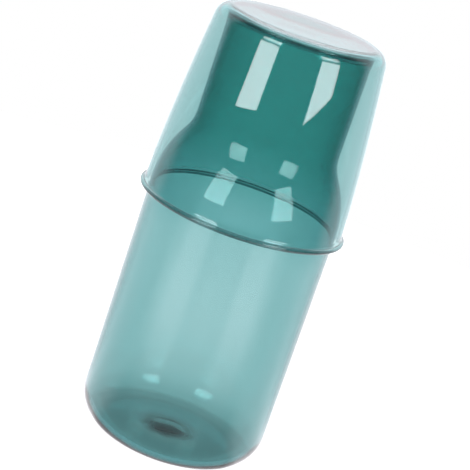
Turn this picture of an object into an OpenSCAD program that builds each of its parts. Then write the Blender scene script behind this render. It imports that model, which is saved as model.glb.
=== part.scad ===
// Bedside carafe with a tumbler that stands upside down over its neck and closes it.
// Both pieces are blown glass, turned about one upright axis, and they only rest on each other.
// Sizes are in millimetres. The origin is the middle of the surface that the carafe stands on.

/* [Carafe] */
// Height of the carafe, to the top of its lip
carafe_h = 196; // [180:0.1:230]
// Outer diameter of the straight body
body_d = 85.5; // [78:0.5:100]
// Outer diameter of the straight neck
neck_d = 65; // [50:0.5:74]
// Height at which the body starts to draw in to the shoulder
shoulder_z = 115; // [95:0.5:130]
// Radius of the full curve where the shoulder leaves the body
shoulder_r = 45; // [30:0.5:60]
// Radius of the hollow curve where the shoulder runs into the neck
neck_blend_r = 18; // [8:0.5:30]
// Thickness of the carafe's blown wall
carafe_wall = 1.8; // [1.2:0.1:2.8]
// How far the melted lip is thicker than the wall, on each side
lip_swell = 0.1; // [0.05:0.05:0.8]

/* [Carafe base] */
// Radius of the round edge between the body and the base
foot_r = 14.5; // [8:0.5:18]
// Radius of the round edge of the floor inside
inner_foot_r = 12.7; // [10.5:0.1:16]
// Thickness of the base above the ring that it stands on
base_t = 2.6; // [2.4:0.1:5]
// Width of the flat ring that the carafe stands on
foot_ring_w = 6; // [3:0.5:12]
// Rise of the hollow under the base
punt_h = 1; // [0.4:0.1:2]
// Diameter of the thick spot in the middle of the floor, where the glass was closed
gather_d = 22; // [10:0.5:36]
// Height of the thick spot above the floor
gather_h = 0.9; // [0.3:0.1:3]

/* [Tumbler] */
// Thickness of the tumbler's blown wall
tumbler_wall = 1.8; // [1.2:0.1:2.8]
// Thickness of the tumbler's base, over its resting ring
tumbler_base_t = 2.1; // [2:0.1:5]
// Radius of the round outer edge of the base
edge_r = 7; // [4:0.5:9]
// Radius of the round edge of the floor inside
floor_edge_r = 5; // [2.5:0.5:6]
// Radius of the slight barrel curve of the wall, seen from the side
wall_bow_r = 1100; // [400:10:3000]
// Width of the flat ring that the tumbler stands on when it is upright
tumbler_ring_w = 6; // [3:0.5:12]
// Depth of the hollow in the tumbler's base
hollow_h = 0.5; // [0.3:0.1:1.5]

/* [Tumbler lip] */
// Height of the stretch in which the lip turns outwards
flare_h = 4; // [3.2:0.1:4.8]
// Radius of that turn, measured on the outside
flare_r = 3; // [2.4:0.1:8]
// How far the melted bead of the lip is thicker than the wall, on each side
bead_swell = 0.3; // [0.1:0.05:0.8]

/* [Fit] */
// Gap between the lip of the carafe and the floor of the tumbler that rests on it
seat_gap = 0.3; // [0.1:0.05:0.5]
// How far the flat of that floor reaches past the middle of the lip
seat_margin = 0.15; // [0:0.05:3]
// Clearance all round between the body and the mouth of the tumbler
mouth_gap = 0.9; // [0.4:0.05:2]
// How far the mouth of the tumbler hangs below the start of the shoulder
mouth_drop = 3; // [1:0.5:15]

/* [Hidden] */

// Teal glass, and the facets of a full turn
glass = [0.25, 0.57, 0.56, 0.55];
turn_fn = 180;
// Furthest that a chord may lie from its arc, and the spacing below which two points are one
arc_sag = 0.01;
same_point = 0.002;

body_r = body_d / 2;
neck_r = neck_d / 2;

// The two curves of the shoulder meet on a common tangent, this far from upright
shoulder_angle = acos(1 - (body_r - neck_r) / (shoulder_r + neck_blend_r));
shoulder_c = [body_r - shoulder_r, shoulder_z];
neck_z = shoulder_z + (shoulder_r + neck_blend_r) * sin(shoulder_angle);
neck_blend_c = [neck_r + neck_blend_r, neck_z];

// The lip is a round bead on the middle of the neck's wall
lip_r = carafe_wall / 2 + lip_swell;
lip_c = [neck_r - carafe_wall / 2, carafe_h - lip_r];
lip_under = acos(carafe_wall / 2 / lip_r);

// Inside, the round edge of the floor is drawn in by the wall and raised by the base
foot_flat_r = body_r - foot_r;
inner_flat_r = body_r - carafe_wall - inner_foot_r;
punt_r = foot_flat_r - foot_ring_w;

// The tumbler is worked out upright, standing on its base
tumbler_top = carafe_h + seat_gap + tumbler_base_t;
tumbler_h = tumbler_top - shoulder_z + mouth_drop;
floor_edge_c = [lip_c.x + seat_margin, tumbler_base_t + floor_edge_r];
mouth_p = [body_r + mouth_gap + tumbler_wall, tumbler_h - flare_h];

// The barrel curve of the wall passes through the mouth and runs into the round edges of the floor
// and of the base on common tangents
wall_c = beside(floor_edge_c, wall_bow_r - tumbler_wall - floor_edge_r, mouth_p, wall_bow_r);
edge_x = wall_c.x + sqrt(pow(wall_bow_r - edge_r, 2) - pow(edge_r - wall_c.y, 2));
edge_c = [edge_x, edge_r];
hollow_r = edge_x - tumbler_ring_w;
base_tilt = bearing(wall_c, edge_c);
floor_tilt = bearing(wall_c, floor_edge_c);
mouth_tilt = bearing(wall_c, mouth_p);

// The lip turns out about a centre outside the wall and ends in a round bead
bead_r = tumbler_wall / 2 + bead_swell;
flare_mid_r = flare_r + tumbler_wall / 2;
flare_c = mouth_p + flare_r * [cos(mouth_tilt), sin(mouth_tilt)];
bead_turn = 180 - asin((tumbler_h - bead_r - flare_c.y) / flare_mid_r);
bead_c = flare_c + flare_mid_r * [cos(bead_turn), sin(bead_turn)];
flare_end = bead_turn + bead_half_angle(flare_r);
flare_inner_end = bead_turn + bead_half_angle(flare_r + tumbler_wall);
bead_from = bearing(bead_c, flare_c + flare_r * [cos(flare_end), sin(flare_end)]);
bead_inner_p = flare_c + (flare_r + tumbler_wall) * [cos(flare_inner_end), sin(flare_inner_end)];
bead_to = (360 + bearing(bead_c, bead_inner_p)) % 360;

// Direction of q as seen from p
function bearing(p, q) = atan2(q.y - p.y, q.x - p.x);

// The point at distance a from p and b from q, on the left of the line from p to q
function beside(p, a, q, b) =
    let (d = norm(q - p))
    let (u = (q - p) / d)
    let (along = (a * a - b * b + d * d) / (2 * d))
    p + along * u + sqrt(a * a - along * along) * [-u.y, u.x];

// Angle that half of the bead takes up on a circle of radius r about the centre of the flare
function bead_half_angle(r) =
    acos((r * r + flare_mid_r * flare_mid_r - bead_r * bead_r) / (2 * r * flare_mid_r));

// Points along an arc, both ends included
function arc(c, r, from, to) =
    let (n = max(1, ceil(abs(to - from) / (2 * acos(1 - arc_sag / r)))))
    [for (i = [0:n]) let (a = from + (to - from) * i / n) c + r * [cos(a), sin(a)]];

// A round rise of height h and radius w above level z, from the axis outwards:
// a crown and a hollow foot of the same radius, which meet on a common tangent
function rise(w, h, z) =
    let (slope = 2 * atan(h / w))
    let (r = w / (2 * sin(slope)))
    concat(
        arc([0, z + h - r], r, 90, 90 - slope),
        arc([w, z + r], r, 270 - slope, 270)
    );

function reversed(points) = [for (i = [len(points) - 1:-1:0]) points[i]];

// The outline with one point where two arcs meet
function joined(points) = [
    for (i = [0:len(points) - 1])
        if (norm(points[i] - points[(i + 1) % len(points)]) > same_point) points[i]
];

// Section of the carafe: under the base, up the outside, over the lip and down the inside
function carafe_section() = joined(concat(
    rise(punt_r, punt_h, 0),
    arc([foot_flat_r, foot_r], foot_r, -90, 0),
    arc(shoulder_c, shoulder_r, 0, shoulder_angle),
    arc(neck_blend_c, neck_blend_r, 180 + shoulder_angle, 180),
    arc(lip_c, lip_r, -lip_under, 180 + lip_under),
    arc(neck_blend_c, neck_blend_r + carafe_wall, 180, 180 + shoulder_angle),
    arc(shoulder_c, shoulder_r - carafe_wall, shoulder_angle, 0),
    arc([inner_flat_r, base_t + inner_foot_r], inner_foot_r, 0, -90),
    reversed(rise(gather_d / 2, gather_h, base_t))
));

// Section of the upright tumbler: under the base, up the outside, over the lip and down the inside
function tumbler_section() = joined(concat(
    rise(hollow_r, hollow_h, 0),
    arc(edge_c, edge_r, -90, base_tilt),
    arc(wall_c, wall_bow_r, base_tilt, mouth_tilt),
    arc(flare_c, flare_r, 180 + mouth_tilt, flare_end),
    arc(bead_c, bead_r, bead_from, bead_to),
    arc(flare_c, flare_r + tumbler_wall, flare_inner_end, 180 + mouth_tilt),
    arc(wall_c, wall_bow_r - tumbler_wall, mouth_tilt, floor_tilt),
    arc(floor_edge_c, floor_edge_r, floor_tilt, -90),
    [[0, tumbler_base_t]]
));

module carafe() {
    color(glass)
        rotate_extrude($fn = turn_fn)
            polygon(carafe_section());
}

module tumbler() {
    color(glass)
        translate([0, 0, tumbler_top])
            mirror([0, 0, 1])
                rotate_extrude($fn = turn_fn)
                    polygon(tumbler_section());
}

carafe();
tumbler();
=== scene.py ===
"""Bedside carafe with the tumbler that closes it, in teal blown glass on a white table."""

from cmath import phase, rect
from itertools import pairwise
from math import acos, asin, atan, ceil, cos, pi, radians, sin, sqrt, tau

import bmesh
import bpy
from bpy.props import FloatProperty, FloatVectorProperty, IntProperty, PointerProperty
from bpy.types import Operator, Panel, PropertyGroup
from mathutils import Matrix, Vector, noise


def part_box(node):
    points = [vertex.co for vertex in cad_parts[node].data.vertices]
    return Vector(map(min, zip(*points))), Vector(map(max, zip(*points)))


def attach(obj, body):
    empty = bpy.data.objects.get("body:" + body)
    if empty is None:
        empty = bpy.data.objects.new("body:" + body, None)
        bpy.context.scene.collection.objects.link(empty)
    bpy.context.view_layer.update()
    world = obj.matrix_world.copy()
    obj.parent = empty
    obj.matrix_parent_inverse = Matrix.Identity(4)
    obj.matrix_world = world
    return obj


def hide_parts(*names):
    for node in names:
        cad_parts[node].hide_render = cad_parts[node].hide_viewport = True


bl_info = {
    "name": "Bedside carafe with tumbler",
    "version": (1, 0, 0),
    "blender": (4, 5, 0),
    "location": "View3D > Sidebar > Carafe",
    "description": "Blown glass carafe, its upturned tumbler and a white studio",
    "category": "Add Mesh",
}

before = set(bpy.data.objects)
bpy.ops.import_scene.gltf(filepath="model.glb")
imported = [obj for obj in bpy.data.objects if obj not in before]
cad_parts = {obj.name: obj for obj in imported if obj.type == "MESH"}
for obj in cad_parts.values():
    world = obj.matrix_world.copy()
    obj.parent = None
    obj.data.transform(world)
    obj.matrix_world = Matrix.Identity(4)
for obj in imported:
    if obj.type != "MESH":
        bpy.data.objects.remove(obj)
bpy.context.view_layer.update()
CARAFE_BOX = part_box("carafe")
TUMBLER_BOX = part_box("tumbler")

# Furthest that a chord may lie from its arc, the longest step along a section, and the spacing
# below which two points are one, in metres
ARC_SAG = 4e-6
LONGEST_STEP = 4e-3
SAME_POINT = 2e-6


def length(label, description, default):
    """A length in metres that the user may change."""
    return FloatProperty(
        name=label, description=description, default=default, precision=4, unit="LENGTH", subtype="DISTANCE"
    )


def number(label, description, default, **options):
    """A plain number that the user may change."""
    return FloatProperty(name=label, description=description, default=default, precision=4, **options)


def colour(label, description, default):
    """A colour that the user may change."""
    return FloatVectorProperty(
        name=label, description=description, default=default, size=3, min=0, max=1, subtype="COLOR"
    )


def spot(label, description, default):
    """A point in metres that the user may change."""
    return FloatVectorProperty(
        name=label,
        description=description,
        default=default,
        size=3,
        precision=4,
        unit="LENGTH",
        subtype="TRANSLATION",
    )


# Points of a section are complex numbers: distance from the axis and height.


def arc(centre, radius, start, end):
    """Points along an arc, both ends included."""
    steps = max(1, ceil(abs(end - start) / (2 * acos(1 - ARC_SAG / radius))))
    return [centre + rect(radius, start + (end - start) * i / steps) for i in range(steps + 1)]


def beside(p, a, q, b):
    """The point at distance a from p and b from q, on the left of the line from p to q."""
    gap = abs(q - p)
    along = (a * a - b * b + gap * gap) / (2 * gap)
    return p + complex(along, sqrt(a * a - along * along)) * (q - p) / gap


def rise(width, height, level):
    """A round rise above a level, from the axis outwards: a crown that runs into a hollow foot."""
    slope = 2 * atan(height / width)
    radius = width / (2 * sin(slope))
    crown = arc(complex(0, level + height - radius), radius, pi / 2, pi / 2 - slope)
    skirt = arc(complex(width, level + radius), radius, 1.5 * pi - slope, 1.5 * pi)
    return crown + skirt


def evened(points):
    """The section with one point where two arcs meet and points added along its long stretches."""
    kept = [points[0]]
    for point in points[1:]:
        gap = abs(point - kept[-1])
        if gap < SAME_POINT:
            continue
        steps = ceil(gap / LONGEST_STEP)
        start = kept[-1]
        kept.extend(start + (point - start) * i / steps for i in range(1, steps + 1))
    return kept


class CarafeSizes(PropertyGroup):
    """Sizes of the carafe."""

    height: length("Height", "Height to the top of the lip", CARAFE_BOX[1].z)
    body_d: length("Body diameter", "Outer diameter of the straight body", 2 * CARAFE_BOX[1].x)
    neck_d: length("Neck diameter", "Outer diameter of the straight neck", 0.065)
    shoulder_z: length("Shoulder height", "Where the body starts to draw in", 0.115)
    shoulder_r: length("Shoulder radius", "Full curve where the shoulder leaves the body", 0.045)
    neck_blend_r: length("Neck curve", "Hollow curve where the shoulder runs into the neck", 0.018)
    wall: length("Wall", "Thickness of the blown wall", 0.0018)
    lip_swell: length("Lip swell", "How far the lip is thicker than the wall, on each side", 0.0001)
    foot_r: length("Foot radius", "Round edge between the body and the base", 0.0145)
    inner_foot_r: length("Inner foot radius", "Round edge of the floor inside", 0.0127)
    base_t: length("Base", "Thickness of the base above its resting ring", 0.0026)
    foot_ring_w: length("Foot ring", "Width of the flat ring that the carafe stands on", 0.006)
    punt_h: length("Hollow", "Rise of the hollow under the base", 0.001)
    gather_d: length("Gather diameter", "Thick spot in the middle of the floor", 0.022)
    gather_h: length("Gather height", "Height of the thick spot above the floor", 0.0009)

    def section(self):
        """Under the base, up the outside, over the lip and down the inside."""
        body_r = self.body_d / 2
        neck_r = self.neck_d / 2
        turn_r = self.shoulder_r + self.neck_blend_r
        lean = acos(1 - (body_r - neck_r) / turn_r)
        shoulder_c = complex(body_r - self.shoulder_r, self.shoulder_z)
        neck_c = complex(neck_r + self.neck_blend_r, self.shoulder_z + turn_r * sin(lean))
        lip_r = self.wall / 2 + self.lip_swell
        lip_c = complex(neck_r - self.wall / 2, self.height - lip_r)
        lip_under = acos(self.wall / 2 / lip_r)
        flat_r = body_r - self.foot_r
        inner_flat_r = body_r - self.wall - self.inner_foot_r
        return evened(
            rise(flat_r - self.foot_ring_w, self.punt_h, 0)
            + arc(complex(flat_r, self.foot_r), self.foot_r, -pi / 2, 0)
            + arc(shoulder_c, self.shoulder_r, 0, lean)
            + arc(neck_c, self.neck_blend_r, pi + lean, pi)
            + arc(lip_c, lip_r, -lip_under, pi + lip_under)
            + arc(neck_c, self.neck_blend_r + self.wall, pi, pi + lean)
            + arc(shoulder_c, self.shoulder_r - self.wall, lean, 0)
            + arc(complex(inner_flat_r, self.base_t + self.inner_foot_r), self.inner_foot_r, 0, -pi / 2)
            + rise(self.gather_d / 2, self.gather_h, self.base_t)[::-1]
        )


class TumblerSizes(PropertyGroup):
    """Sizes of the tumbler, which hangs upside down over the neck of the carafe."""

    top: length("Top", "Height of the upturned base above the table", TUMBLER_BOX[1].z)
    height: length("Height", "Height of the tumbler", TUMBLER_BOX[1].z - TUMBLER_BOX[0].z)
    wall: length("Wall", "Thickness of the blown wall", 0.0018)
    base_t: length("Base", "Thickness of the base over its resting ring", 0.0021)
    edge_r: length("Edge radius", "Round outer edge of the base", 0.007)
    floor_edge_r: length("Floor edge radius", "Round edge of the floor inside", 0.005)
    wall_bow_r: length("Barrel radius", "Slight barrel curve of the wall, seen from the side", 1.1)
    ring_w: length("Base ring", "Width of the flat ring that the tumbler stands on", 0.006)
    hollow_h: length("Hollow", "Depth of the hollow in the base", 0.0005)
    floor_r: length("Floor radius", "How far the flat of the floor reaches from the axis", 0.03175)
    mouth_r: length("Mouth radius", "Outer radius of the wall where the lip starts to turn out", 0.04543)
    flare_h: length("Flare height", "Stretch in which the lip turns outwards", 0.004)
    flare_r: length("Flare radius", "Turn of the lip, measured on the outside", 0.003)
    bead_swell: length("Bead swell", "How far the bead is thicker than the wall, on each side", 0.0003)

    def section(self):
        """As it hangs: along the floor, down the inside, over the lip, up the outside and over the base."""
        bow_r = self.wall_bow_r
        floor_c = complex(self.floor_r, self.base_t + self.floor_edge_r)
        mouth = complex(self.mouth_r, self.height - self.flare_h)
        wall_c = beside(floor_c, bow_r - self.wall - self.floor_edge_r, mouth, bow_r)
        edge_reach = sqrt((bow_r - self.edge_r) ** 2 - (self.edge_r - wall_c.imag) ** 2)
        edge_c = complex(wall_c.real + edge_reach, self.edge_r)
        base_tilt = phase(edge_c - wall_c)
        floor_tilt = phase(floor_c - wall_c)
        mouth_tilt = phase(mouth - wall_c)
        bead_r = self.wall / 2 + self.bead_swell
        middle_r = self.flare_r + self.wall / 2
        inner_r = self.flare_r + self.wall
        flare_c = mouth + rect(self.flare_r, mouth_tilt)
        bead_turn = pi - asin((self.height - bead_r - flare_c.imag) / middle_r)
        bead_c = flare_c + rect(middle_r, bead_turn)

        def bead_half(radius):
            """Angle that half of the bead takes up on a circle about the centre of the flare."""
            return acos((radius**2 + middle_r**2 - bead_r**2) / (2 * radius * middle_r))

        outer_end = bead_turn + bead_half(self.flare_r)
        inner_end = bead_turn + bead_half(inner_r)
        bead_from = phase(flare_c + rect(self.flare_r, outer_end) - bead_c)
        bead_to = phase(flare_c + rect(inner_r, inner_end) - bead_c) % tau
        upright = evened(
            rise(edge_c.real - self.ring_w, self.hollow_h, 0)
            + arc(edge_c, self.edge_r, -pi / 2, base_tilt)
            + arc(wall_c, bow_r, base_tilt, mouth_tilt)
            + arc(flare_c, self.flare_r, pi + mouth_tilt, outer_end)
            + arc(bead_c, bead_r, bead_from, bead_to)
            + arc(flare_c, inner_r, inner_end, pi + mouth_tilt)
            + arc(wall_c, bow_r - self.wall, mouth_tilt, floor_tilt)
            + arc(floor_c, self.floor_edge_r, floor_tilt, -pi / 2)
            + [complex(0, self.base_t)]
        )
        return [complex(p.real, self.top - p.imag) for p in reversed(upright)]


class GlassLook(PropertyGroup):
    """Colour and finish of the blown glass."""

    segments: IntProperty(name="Segments", description="Facets of a full turn", default=192, min=24)
    pass_colour: colour("Pass colour", "Colour of the light that the glass leaves", (0.035, 0.59, 0.6))
    carafe_depth: number("Carafe depth", "Strength of the carafe's colour, per metre", 430, min=0)
    tumbler_depth: number("Tumbler depth", "Strength of the tumbler's colour, per metre", 272, min=0)
    pale: colour("Pale cords", "Tint of the surface where the glass is clearest", (0.985, 0.995, 0.995))
    deep: colour("Deep cords", "Tint of the surface along the deeper cords", (0.95, 0.98, 0.98))
    # The neck's tint makes the glass darker up the neck
    neck: colour("Neck", "Tint of the carafe's neck, where the glass is deeper", (0.58, 0.88, 0.835))
    # Painted shade: the lip's tint draws a dark line where the lip meets the tumbler's floor
    lip: colour("Lip", "Tint of the carafe's melted lip, where the glass is deepest", (0.04, 0.16, 0.17))
    # Painted shade: the rim's tint draws the dark lines along the tumbler's rim and bead
    rim: colour("Rim", "Tint of the tumbler's melted rim", (0.18, 0.28, 0.29))
    # A dark grey spot in the middle of the carafe's base: its tint, its reach and its roughness
    smoky: colour("Smoky spot", "Tint of the closed middle of the carafe's base", (0.17, 0.12, 0.125))
    smoky_r: length("Smoky spot radius", "Reach of the smoky tint from the axis", 0.010)
    smoky_rough: number("Smoky spot roughness", "Roughness of the closed middle", 0.35, min=0, max=1)
    ior: number("IOR", "Refractive index of soda-lime glass", 1.47, min=1)
    gloss_low: number("Clean roughness", "Roughness where the glass is clean", 0.0, min=0, max=1)
    gloss_high: number("Handled roughness", "Roughness where it has been handled", 0.012, min=0, max=1)
    ripple: length("Ripple", "Depth of the cords in the surface", 0.00003)
    wave: length("Wave", "How far the inside of the wall wanders", 0.00006)


class StageLook(PropertyGroup):
    """Camera, table and light."""

    camera: spot("Camera", "Where the camera stands", (0, -0.689952, 0.296738))
    pitch: number("Pitch", "Downward angle of the camera", radians(15.873), subtype="ANGLE")
    yaw: number("Yaw", "Turn of the camera to the right", radians(0.047), subtype="ANGLE")
    roll: number("Roll", "Lean of the picture", radians(18.897), subtype="ANGLE")
    lens: number("Lens", "Focal length, in millimetres on a 36 mm sensor", 124.07)
    table_r: length("Table radius", "Radius of the white table", 0.5)
    table_colour: colour("Table", "Colour of the table", (0.8, 0.8, 0.8))
    table_white: number("Table white", "Extra white that the camera sees on the table", 0.6, min=0)
    table_lift: number("Table lift", "Extra white of the table through the glass", 0.2, min=0)
    # Painted light: the table glows in reflections in place of light from the softboxes
    table_back: number("Table back", "Light of the table's far half, in outer reflections", 1.45, min=0)
    table_side: number("Table sides", "The same on the left and right", 2.0, min=0)
    table_near: number("Table near", "The same in front, near the foot", 0.9, min=0)
    table_front: number("Table front", "The same further in front", 3.6, min=0)
    table_pool: number("Table pools", "More of it straight in front of each softbox", 1.5, min=0)
    table_inner: number("Table inner", "Light of the table in reflections inside the glass", 0.45, min=0)
    table_inner_back: number("Table inner back", "The same on its far half and by the foot", 0.9, min=0)
    # Painted shadow under the foot; the shade lift is its painted light, not light gathered by the glass
    shade: colour("Table shade", "Colour of the table in the shade of the foot", (0.25, 0.25, 0.25))
    shade_lift: number("Shade lift", "Light that the glass gathers in that shade", 0.42, min=0)
    shade_y: length("Shade offset", "How far that shade falls to the back", 0.0025)
    shade_r: length("Shade radius", "Reach of that shade", 0.0415)
    shade_soft: length("Shade softness", "Half the width of its soft edge", 0.0035)
    fill: number("Fill", "Light that falls on the table from all round", 1.0, min=0)
    mirror_low: colour("Reflected low", "Colour of the low studio in outer reflections", (0.98, 0.88, 0.93))
    mirror_colour: colour("Reflected colour", "Colour of the studio in reflections", (0.89, 0.96, 1.0))
    table_mirror: colour("Reflected table", "Colour of the table in reflections", (0.97, 0.95, 0.99))
    outer_level: number("Outer level", "Light of the studio behind, in outer reflections", 1.5, min=0)
    outer_front: number("Outer front", "The same in front and at the sides", 0.25, min=0)
    inner_level: number("Inner level", "Light behind in reflections inside the glass", 0.8, min=0)
    inner_front: number("Inner front", "The same in front and at the sides", 0.1, min=0)
    top_light: number("Top light", "Light high up behind, in outer reflections", 4.6, min=0)
    zenith: number("Zenith", "Light straight overhead, in reflections", 2.0, min=0)
    front_floor: number("Front floor", "Light of the floor in front, inside the first wall", 2.5, min=0)
    softbox: number("Softboxes", "Light of the two softboxes", 9.2, min=0)
    softbox_colour: colour("Softbox colour", "Colour of that light", (1.0, 0.9, 0.92))
    softbox_deep: colour("Deep softbox colour", "The same behind the first wall", (1.0, 0.68, 0.68))
    deep_gain: number("Deep softbox gain", "How much stronger it is there", 1.4, min=0)
    left_inner: spot("Left inner edge", "Foot of the left softbox's inner edge", (-0.220, -0.568, 0.164))
    left_outer: spot("Left outer edge", "Foot of the left softbox's outer edge", (-0.440, -0.419, 0.152))
    right_inner: spot("Right inner edge", "Foot of the right softbox's inner edge", (0.366, -0.536, 0.160))
    right_outer: spot("Right outer edge", "Foot of the right softbox's outer edge", (0.506, -0.311, 0.188))
    softbox_top: length("Softbox top", "Height of the top of both softboxes", 0.6)


class Value:
    """A socket of a node tree. Arithmetic on it adds Math nodes."""

    def __init__(self, bench, socket):
        self.bench = bench
        self.socket = socket

    def _math(self, operation, first, second):
        return self.bench.add("ShaderNodeMath", {"operation": operation}, {0: first, 1: second})[0]

    def __add__(self, other):
        return self._math("ADD", self, other)

    def __radd__(self, other):
        return self._math("ADD", other, self)

    def __sub__(self, other):
        return self._math("SUBTRACT", self, other)

    def __rsub__(self, other):
        return self._math("SUBTRACT", other, self)

    def __mul__(self, other):
        return self._math("MULTIPLY", self, other)

    def __rmul__(self, other):
        return self._math("MULTIPLY", other, self)

    def __lt__(self, other):
        return self._math("LESS_THAN", self, other)

    def __gt__(self, other):
        return self._math("GREATER_THAN", self, other)


class Made:
    """A node whose outputs are read by name, identifier or place."""

    def __init__(self, bench, node):
        self.bench = bench
        self.node = node

    def __getitem__(self, key):
        return Value(self.bench, chosen(self.node.outputs, key))


def chosen(sockets, key):
    """One socket, by place, identifier or name."""
    if isinstance(key, int):
        return sockets[key]
    for socket in sockets:
        if key == socket.identifier:
            return socket
    return sockets[key]


class Bench:
    """Adds nodes to one node tree."""

    def __init__(self, tree):
        self.tree = tree
        tree.nodes.clear()

    def add(self, kind, settings=None, sockets=None):
        """One node of a type. Its settings are set first, then the values or links of its sockets."""
        node = self.tree.nodes.new(kind)
        for key, value in (settings or {}).items():
            setattr(node, key, value)
        for key, value in (sockets or {}).items():
            socket = chosen(node.inputs, key)
            if isinstance(value, Value):
                self.tree.links.new(socket, value.socket)
            else:
                socket.default_value = value
        return Made(self, node)

    def ramp(self, value, start, end):
        """0 up to start, 1 from end on, and smooth in between. Start may lie above end."""
        low, high = min(start, end), max(start, end)
        to = (0.0, 1.0) if start < end else (1.0, 0.0)
        return self.add(
            "ShaderNodeMapRange",
            {"interpolation_type": "SMOOTHSTEP"},
            {"Value": value, "From Min": low, "From Max": high, "To Min": to[0], "To Max": to[1]},
        )["Result"]

    def mix(self, factor, first, second):
        """Colour between two colours."""
        return self.add(
            "ShaderNodeMix",
            {"data_type": "RGBA"},
            {"Factor_Float": factor, "A_Color": first, "B_Color": second},
        )["Result_Color"]

    def vector(self, operation, *inputs):
        """Vector maths on vectors."""
        return self.add("ShaderNodeVectorMath", {"operation": operation}, dict(enumerate(inputs)))

    def cloud(self, place, scale, detail):
        """Noise at a place."""
        return self.add("ShaderNodeTexNoise", {}, {"Vector": place, "Scale": scale, "Detail": detail})


def solid(rgb):
    """A colour with full alpha."""
    return (*rgb, 1.0)


WHITE = solid((1, 1, 1))
BLACK = solid((0, 0, 0))

# Noise in the glass: how it is stretched, its scale and detail, and the values between which it sets in
CORD_STRETCH = (1, 1, 0.15)
CORD_SCALE = 60
CORD_DETAIL = 2
CORD_STEP = (0.35, 0.7)
SMEAR_SCALE = 35
SMEAR_DETAIL = 5
SMEAR_STEP = (0.5, 0.75)
DARK_SPOT_STRETCH = (0.62, 1, 0)
DARK_SPOT_SCALE = 130
DARK_SPOT_DETAIL = 3

# How far the dark spot in the middle of the base drifts, the middle of that drift and the height under
# which it lies, in metres, and its dark core as a part of its reach
DARK_SPOT_DRIFT = (0.009, 0.009, 0)
DARK_SPOT_MIDDLE = (0.0045, 0.0045, 0)
DARK_SPOT_TOP = 0.008
DARK_SPOT_CORE = 0.2

# Heights in metres between which the tints set in: the deeper tint up the neck, the painted shade of a
# dark line at the lip from below and from above, and the painted shade down to the rim of the tumbler
NECK_STEP = (0.118, 0.144)
LIP_SHADE_STEPS = ((0.1941, 0.1945), (0.1955, 0.195))
RIM_SHADE_STEPS = ((0.1138, 0.1131),)

# Scale of the wave on the inside of the wall, and how far it is drawn out upright
WAVE_SCALE = 55
WAVE_DRAWN = 0.4


def blown_glass(name, look, depth, rim, rim_shade_tint, smoky):
    """Teal glass with faint upright cords, smears of handling and a painted shade along its rim.

    Smoky glass also has a deeper tint up the neck and a dark spot in the middle of its base.
    """
    material = bpy.data.materials.new(name)
    material.use_nodes = True
    bench = Bench(material.node_tree)
    place = bench.add("ShaderNodeTexCoord")["Object"]
    drawn = bench.add("ShaderNodeMapping", {}, {"Vector": place, "Scale": CORD_STRETCH})["Vector"]
    cords = bench.cloud(drawn, CORD_SCALE, CORD_DETAIL)["Fac"]
    smears = bench.cloud(place, SMEAR_SCALE, SMEAR_DETAIL)["Fac"]
    tint = bench.mix(bench.ramp(cords, *CORD_STEP), solid(look.pale), solid(look.deep))
    height = bench.add("ShaderNodeSeparateXYZ", {}, {"Vector": place})["Z"]
    if smoky:
        tint = bench.mix(bench.ramp(height, *NECK_STEP), tint, solid(look.neck))
    # Painted shade: a dark tint in the band between the given heights, at the lip and rim
    shaded = bench.ramp(height, *rim[0])
    for step in rim[1:]:
        shaded = shaded * bench.ramp(height, *step)
    tint = bench.mix(shaded, tint, solid(rim_shade_tint))
    handled = bench.ramp(smears, *SMEAR_STEP)
    rough = handled * (look.gloss_high - look.gloss_low) + look.gloss_low
    if smoky:
        # A dark grey spot with a darker core in the middle of the base, rougher than the rest
        across = bench.vector("MULTIPLY", place, DARK_SPOT_STRETCH)["Vector"]
        stir = bench.cloud(across, DARK_SPOT_SCALE, DARK_SPOT_DETAIL)["Color"]
        drift = bench.vector("MULTIPLY_ADD", stir, DARK_SPOT_DRIFT, across)["Vector"]
        dark_spot = bench.vector("SUBTRACT", drift, DARK_SPOT_MIDDLE)["Vector"]
        reach = bench.vector("LENGTH", dark_spot)["Value"]
        foot = height < DARK_SPOT_TOP
        middle = bench.ramp(reach, look.smoky_r, DARK_SPOT_CORE * look.smoky_r) * foot
        tint = bench.mix(middle, tint, solid(look.smoky))
        rough = rough + middle * look.smoky_rough
    relief = {"Strength": 1.0, "Distance": look.ripple, "Height": cords}
    ripple = bench.add("ShaderNodeBump", {}, relief)["Normal"]
    surface = bench.add(
        "ShaderNodeBsdfPrincipled",
        {},
        {
            "Base Color": tint,
            "Roughness": rough,
            "IOR": look.ior,
            "Transmission Weight": 1.0,
            "Normal": ripple,
        },
    )["BSDF"]
    body = bench.add(
        "ShaderNodeVolumeAbsorption", {}, {"Color": solid(look.pass_colour), "Density": depth}
    )["Volume"]
    bench.add("ShaderNodeOutputMaterial", {}, {"Surface": surface, "Volume": body})
    return material


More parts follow.
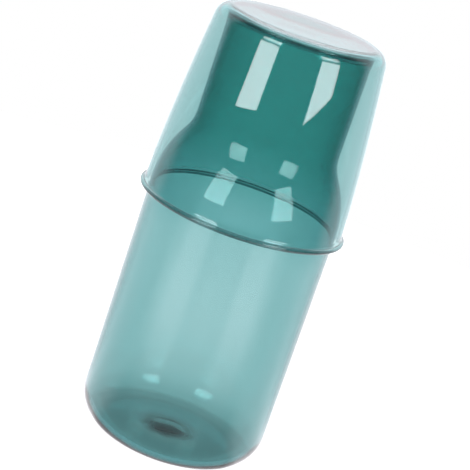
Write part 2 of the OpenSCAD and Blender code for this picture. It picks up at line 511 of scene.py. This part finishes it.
def turned(name, section, look, inside=None):
    """A closed section turned about the upright axis. Points that are inside wander a little."""
    build = bmesh.new()
    wrap = build.loops.layers.uv.new("Wrap")
    run = [0.0]
    for first, second in pairwise(section):
        run.append(run[-1] + abs(second - first))
    turn = [tau * i / look.segments for i in range(look.segments)]
    rings = []
    for point in section:
        if point.real < SAME_POINT:
            rings.append([build.verts.new((0, 0, point.imag))])
            continue
        ring = []
        for angle in turn:
            radius = point.real
            if inside and inside(point):
                at = Vector((radius * cos(angle), radius * sin(angle), point.imag * WAVE_DRAWN))
                radius += look.wave * noise.noise(at * WAVE_SCALE)
            ring.append(build.verts.new((radius * cos(angle), radius * sin(angle), point.imag)))
        rings.append(ring)
    for k, (lower, upper) in enumerate(pairwise(rings)):
        for i in range(look.segments):
            j = i + 1
            corners = []
            for ring, step, row in ((lower, i, k), (lower, j, k), (upper, j, k + 1), (upper, i, k + 1)):
                corner = ring[step % len(ring)]
                if corner not in [c[0] for c in corners]:
                    corners.append((corner, (step / look.segments, run[row] / run[-1])))
            face = build.faces.new([c[0] for c in corners])
            face.smooth = True
            for loop, (_, spot_uv) in zip(face.loops, corners):
                loop[wrap].uv = spot_uv
    mesh = bpy.data.meshes.new(name)
    build.to_mesh(mesh)
    build.free()
    piece = bpy.data.objects.new(name, mesh)
    bpy.context.scene.collection.objects.link(piece)
    return piece


class BEDSIDE_OT_carafe(Operator):
    """Turn the carafe in blown glass."""

    bl_idname = "bedside.carafe"
    bl_label = "Carafe"

    def execute(self, context):
        sizes = context.scene.bedside_carafe
        look = context.scene.bedside_glass
        middle_r = sizes.body_d / 2 - sizes.wall / 2

        def inside(point):
            """Whether a point lies on the inside of the straight body."""
            return point.real < middle_r and sizes.foot_r < point.imag < sizes.shoulder_z

        piece = turned("carafe_blown", sizes.section(), look, inside)
        glass = blown_glass("Teal carafe glass", look, look.carafe_depth, LIP_SHADE_STEPS, look.lip, True)
        piece.data.materials.append(glass)
        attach(piece, "carafe")
        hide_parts("carafe")
        return {"FINISHED"}


class BEDSIDE_OT_tumbler(Operator):
    """Turn the tumbler that stands upside down on the carafe."""

    bl_idname = "bedside.tumbler"
    bl_label = "Tumbler"

    def execute(self, context):
        sizes = context.scene.bedside_tumbler
        look = context.scene.bedside_glass
        piece = turned("tumbler_blown", sizes.section(), look)
        glass = blown_glass("Teal tumbler glass", look, look.tumbler_depth, RIM_SHADE_STEPS, look.rim, False)
        piece.data.materials.append(glass)
        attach(piece, "tumbler")
        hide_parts("tumbler")
        return {"FINISHED"}


def add_camera(look):
    """The camera, leaning as the picture does."""
    data = bpy.data.cameras.new("Camera")
    data.lens = look.lens
    camera = bpy.data.objects.new("Camera", data)
    camera.matrix_world = (
        Matrix.Translation(look.camera)
        @ Matrix.Rotation(-look.yaw, 4, "Z")
        @ Matrix.Rotation(pi / 2 - look.pitch, 4, "X")
        @ Matrix.Rotation(look.roll, 4, "Z")
    )
    bpy.context.scene.collection.objects.link(camera)
    bpy.context.scene.camera = camera


def flat_sheet(name, corners, material):
    """One flat face with a material, for the studio."""
    mesh = bpy.data.meshes.new(name)
    mesh.from_pydata(corners, [], [list(range(len(corners)))])
    mesh.materials.append(material)
    sheet = bpy.data.objects.new(name, mesh)
    bpy.context.scene.collection.objects.link(sheet)
    return sheet


# Counts along a path of light: above ANY there is at least one, and above FIRST_WALL surfaces crossed the
# light has been behind the first wall of glass
ANY = 0.5
FIRST_WALL = 2.5

# Ends of the soft steps on the table, in metres from its middle, and the light lost past some of them
FRONT_REACH = (0.08, 0.26)
FRONT_FADE = (0.28, 0.42)
FRONT_LOSS = 0.3
RIM_FADE = (0.4, 0.5)
RIM_LOSS = 0.55
SIDE_FADE = (0.36, 0.5)
SIDE_LOSS = 0.85
BY_FOOT = (0.06, 0.04)
LIFT_REACH = (0.1, 0.05)
UNDER_FOOT = (0.022, 0.03)

# Ends of the soft steps round the table, as the part of a bearing that points to the back. For the
# painted pools of light in front of the softboxes, it is the square of the part that points aside
TURN_BACK = (0.3, 0.6)
TURN_FRONT = (-0.3, -0.6)
TURN_FAR = (0.0, 0.5)
LIFT_FRONT = (0.3, -0.3)
POOL_INNER = (0.1, 0.22)
POOL_OUTER = (0.72, 0.5)


def table_finish(look):
    """White table with real shadows, painted shade under the foot and painted light before the softboxes."""
    material = bpy.data.materials.new("White table")
    material.use_nodes = True
    bench = Bench(material.node_tree)
    path = bench.add("ShaderNodeLightPath")
    place = bench.add("ShaderNodeTexCoord")["Object"]
    # Painted shadow under the foot, a little to the back: clear is 0 in it and 1 outside
    centred = bench.vector("SUBTRACT", place, (0, look.shade_y, 0))["Vector"]
    reach = bench.vector("LENGTH", centred)["Value"]
    clear = bench.ramp(reach, look.shade_r - look.shade_soft, look.shade_r + look.shade_soft)
    distance = bench.vector("LENGTH", place)["Value"]
    bearing = bench.vector("NORMALIZE", place)["Vector"]
    toward = bench.add("ShaderNodeSeparateXYZ", {}, {"Vector": bearing})
    aside = toward["X"] * toward["X"]
    pools = bench.ramp(aside, *POOL_INNER) * bench.ramp(aside, *POOL_OUTER)
    # Painted pools of light in front of the softboxes, fading with distance, shown only in reflections
    fading = 1 - FRONT_LOSS * bench.ramp(distance, *FRONT_FADE) - RIM_LOSS * bench.ramp(distance, *RIM_FADE)
    painted_front_light = look.table_front * fading + pools * look.table_pool
    front = look.table_near + bench.ramp(distance, *FRONT_REACH) * (painted_front_light - look.table_near)
    sides = look.table_side * (1 - SIDE_LOSS * bench.ramp(distance, *SIDE_FADE))
    behind = sides + bench.ramp(toward["Y"], *TURN_BACK) * (look.table_back - sides)
    around = behind + bench.ramp(toward["Y"], *TURN_FRONT) * (front - behind)
    reflected = path["Glossy Depth"] > ANY
    outer = path["Transmission Depth"] < ANY
    far = bench.ramp(toward["Y"], *TURN_FAR)
    close = bench.ramp(distance, *BY_FOOT)
    within = look.table_inner + (far + close - far * close) * (look.table_inner_back - look.table_inner)
    mirrored = within + outer * (around - within)
    # Painted light in front of the foot, which lifts the shade there seen through the glass
    before_foot = bench.ramp(distance, *LIFT_REACH) * bench.ramp(toward["Y"], *LIFT_FRONT)
    lifted = look.table_lift + before_foot * look.table_lift
    straight = look.shade_lift + clear * (lifted - look.shade_lift)
    # Painted shade: reflections of the table under the foot are dark
    under = bench.ramp(distance, *UNDER_FOOT)
    glow = path["Is Camera Ray"] * look.table_white + straight + reflected * (mirrored * under - straight)
    # Painted shadow: the table's own colour is darker under the foot
    colour_here = bench.mix(clear, solid(look.shade), solid(look.table_colour))
    colour_here = bench.mix(reflected, colour_here, BLACK)
    light_colour = bench.mix(reflected, WHITE, solid(look.table_mirror))
    paint = bench.add("ShaderNodeBsdfDiffuse", {}, {"Color": colour_here})["BSDF"]
    light = bench.add("ShaderNodeEmission", {}, {"Color": light_colour, "Strength": glow})["Emission"]
    both = bench.add("ShaderNodeAddShader", {}, {0: paint, 1: light})["Shader"]
    bench.add("ShaderNodeOutputMaterial", {}, {"Surface": both})
    return material


# Heights in metres between which a dark gap in the softboxes starts and ends, and the light lost in it.
# It shows only up to the first wall of glass
GAP_FOOT = (0.25, 0.27)
GAP_TOP = (0.43, 0.38)
GAP_LOSS = 0.85


def softbox_finish(look):
    """Soft light that shows only in reflections, and is rosier behind the first wall of glass."""
    material = bpy.data.materials.new("Softbox light")
    material.use_nodes = True
    bench = Bench(material.node_tree)
    path = bench.add("ShaderNodeLightPath")
    clear = bench.add("ShaderNodeBsdfTransparent")["BSDF"]
    place = bench.add("ShaderNodeTexCoord")["Object"]
    height = bench.add("ShaderNodeSeparateXYZ", {}, {"Vector": place})["Z"]
    reflected = path["Glossy Depth"] > ANY
    deep = path["Transmission Depth"] > FIRST_WALL
    gap = bench.ramp(height, *GAP_FOOT) * bench.ramp(height, *GAP_TOP) * (1 - deep)
    strength = look.softbox * (1 - GAP_LOSS * gap + deep * (look.deep_gain - 1))
    light_colour = bench.mix(deep, solid(look.softbox_colour), solid(look.softbox_deep))
    light = bench.add("ShaderNodeEmission", {}, {"Color": light_colour, "Strength": strength})["Emission"]
    shown = bench.add("ShaderNodeMixShader", {}, {0: reflected, 1: clear, 2: light})["Shader"]
    bench.add("ShaderNodeOutputMaterial", {}, {"Surface": shown})
    return material


def add_softbox(name, inner, outer, top, material):
    """One softbox, standing on the line between its inner and outer edge."""
    corners = [Vector(inner), Vector(outer), Vector((*outer[:2], top)), Vector((*inner[:2], top))]
    sheet = flat_sheet(name, corners, material)
    sheet.visible_camera = False
    sheet.visible_diffuse = False
    sheet.visible_shadow = False


# Ends of the soft steps of the studio, as the part of a direction that points up
CROWN_STEP = (0.3, 0.8)
ZENITH_STEP = (0.85, 0.98)
BAND_STEP = (0.06, 0.24)
DIP_STEP = (-0.02, 0.04)
FLOOR_DROP = (-0.09, -0.15)
STRIPE_FOOT = (0.13, 0.24)
STRIPE_TOP = (0.3, 0.42)
WARM_FOOT = (0.03, 0.06)
WARM_TOP = (0.2, 0.13)

# The same as the part that points to the back, and, for the middle, as the square of the part aside
BEHIND_STEP = (0.05, 0.4)
CROWN_BACK = (0.0, 0.4)
FLOOR_FRONT = (-0.5, -0.85)
FAR_STEP = (0.5, 0.85)
CENTRE_STEP = (0.2, 0.01)

# Light gained in the band up the back and lost in the dip under it, gained in the stripe that shows inside
# the glass and times that lost over it, and the overhead light's lean to the back and share inside the glass
BAND_GAIN = 0.7
DIP_LOSS = 0.3
STRIPE_GAIN = 0.45
STRIPE_DROP = 2
ZENITH_LEAN = 0.25
ZENITH_INSIDE = 0.4


def white_studio(look):
    """White all round. Only reflections show its dim front, its bright crown and its warm low part."""
    world = bpy.data.worlds.new("White studio")
    world.use_nodes = True
    bench = Bench(world.node_tree)
    path = bench.add("ShaderNodeLightPath")
    toward = bench.add("ShaderNodeTexCoord")["Generated"]
    way = bench.add("ShaderNodeSeparateXYZ", {}, {"Vector": toward})
    seen = path["Is Camera Ray"] + path["Is Glossy Ray"] + path["Is Transmission Ray"] > ANY
    reflected = path["Glossy Depth"] > ANY
    outer = path["Transmission Depth"] < ANY
    first = path["Transmission Depth"] < FIRST_WALL
    centre = bench.ramp(way["X"] * way["X"], *CENTRE_STEP)
    behind = bench.ramp(way["Y"], *BEHIND_STEP)
    crown = bench.ramp(way["Z"], *CROWN_STEP) * centre * bench.ramp(way["Y"], *CROWN_BACK)
    zenith = bench.ramp(way["Z"] + ZENITH_LEAN * way["Y"], *ZENITH_STEP) * look.zenith
    band = BAND_GAIN * bench.ramp(way["Z"], *BAND_STEP) - DIP_LOSS * bench.ramp(way["Z"], *DIP_STEP)
    back = look.outer_level + centre * band
    outside = look.outer_front + behind * (back - look.outer_front)
    outside = outside + crown * look.top_light + zenith
    floor = bench.ramp(way["Z"], *FLOOR_DROP) * bench.ramp(way["Y"], *FLOOR_FRONT)
    stripe = bench.ramp(way["Z"], *STRIPE_FOOT) - STRIPE_DROP * bench.ramp(way["Z"], *STRIPE_TOP)
    far = bench.ramp(way["Y"], *FAR_STEP)
    level = (1 + STRIPE_GAIN * stripe) * look.inner_level
    inside = look.inner_front + far * (level - look.inner_front)
    inside = inside + zenith * ZENITH_INSIDE + first * floor * look.front_floor
    mirrored = inside + outer * (outside - inside)
    shown = 1 + reflected * (mirrored - 1)
    strength = seen * shown + (1 - seen) * look.fill
    warm = bench.ramp(way["Z"], *WARM_FOOT) * bench.ramp(way["Z"], *WARM_TOP) * outer
    mirror = bench.mix(warm, solid(look.mirror_colour), solid(look.mirror_low))
    colour_here = bench.mix(reflected, WHITE, mirror)
    light = {"Color": colour_here, "Strength": strength}
    backdrop = bench.add("ShaderNodeBackground", {}, light)["Background"]
    bench.add("ShaderNodeOutputWorld", {}, {"Surface": backdrop})
    bpy.context.scene.world = world


# Facets of the table's edge, how far the table lies under the foot, and the bounces that light needs to
# pass through four walls of glass
TABLE_SEGMENTS = 96
TABLE_DROP = 1e-4
BOUNCES = {
    "max_bounces": 32,
    "transmission_bounces": 32,
    "glossy_bounces": 16,
    "transparent_max_bounces": 16,
}


class BEDSIDE_OT_studio(Operator):
    """Set up the camera, the white table and the light."""

    bl_idname = "bedside.studio"
    bl_label = "Studio"

    def execute(self, context):
        scene = context.scene
        look = scene.bedside_stage
        add_camera(look)
        edge = [rect(look.table_r, tau * i / TABLE_SEGMENTS) for i in range(TABLE_SEGMENTS)]
        disc = [Vector((point.real, point.imag, -TABLE_DROP)) for point in edge]
        flat_sheet("table", disc, table_finish(look))
        light = softbox_finish(look)
        add_softbox("softbox_left", look.left_inner, look.left_outer, look.softbox_top, light)
        add_softbox("softbox_right", look.right_inner, look.right_outer, look.softbox_top, light)
        white_studio(look)
        scene.view_settings.view_transform = "Standard"
        for name, count in BOUNCES.items():
            setattr(scene.cycles, name, count)
        return {"FINISHED"}


class BEDSIDE_PT_panel(Panel):
    """Lists the pieces and their sizes."""

    bl_idname = "BEDSIDE_PT_panel"
    bl_label = "Bedside carafe"
    bl_space_type = "VIEW_3D"
    bl_region_type = "UI"
    bl_category = "Carafe"

    def draw(self, context):
        for operator, group in GROUPS:
            if operator:
                self.layout.operator(operator)
            settings = getattr(context.scene, group)
            box = self.layout.box()
            for key in settings.__annotations__:
                box.prop(settings, key)


GROUPS = (
    ("bedside.carafe", "bedside_carafe"),
    ("bedside.tumbler", "bedside_tumbler"),
    (None, "bedside_glass"),
    ("bedside.studio", "bedside_stage"),
)
SETTINGS = {
    "bedside_carafe": CarafeSizes,
    "bedside_tumbler": TumblerSizes,
    "bedside_glass": GlassLook,
    "bedside_stage": StageLook,
}
CLASSES = (*SETTINGS.values(), BEDSIDE_OT_carafe, BEDSIDE_OT_tumbler, BEDSIDE_OT_studio, BEDSIDE_PT_panel)


def register():
    """Adds the classes and the settings of the scene."""
    for kind in CLASSES:
        bpy.utils.register_class(kind)
    for name, group in SETTINGS.items():
        setattr(bpy.types.Scene, name, PointerProperty(type=group))


def unregister():
    """Takes them away again."""
    for name in SETTINGS:
        delattr(bpy.types.Scene, name)
    for kind in reversed(CLASSES):
        bpy.utils.unregister_class(kind)


def main():
    """Builds the carafe, the tumbler and the studio."""
    register()
    bpy.ops.bedside.carafe()
    bpy.ops.bedside.tumbler()
    bpy.ops.bedside.studio()


if __name__ == "__main__":
    main()
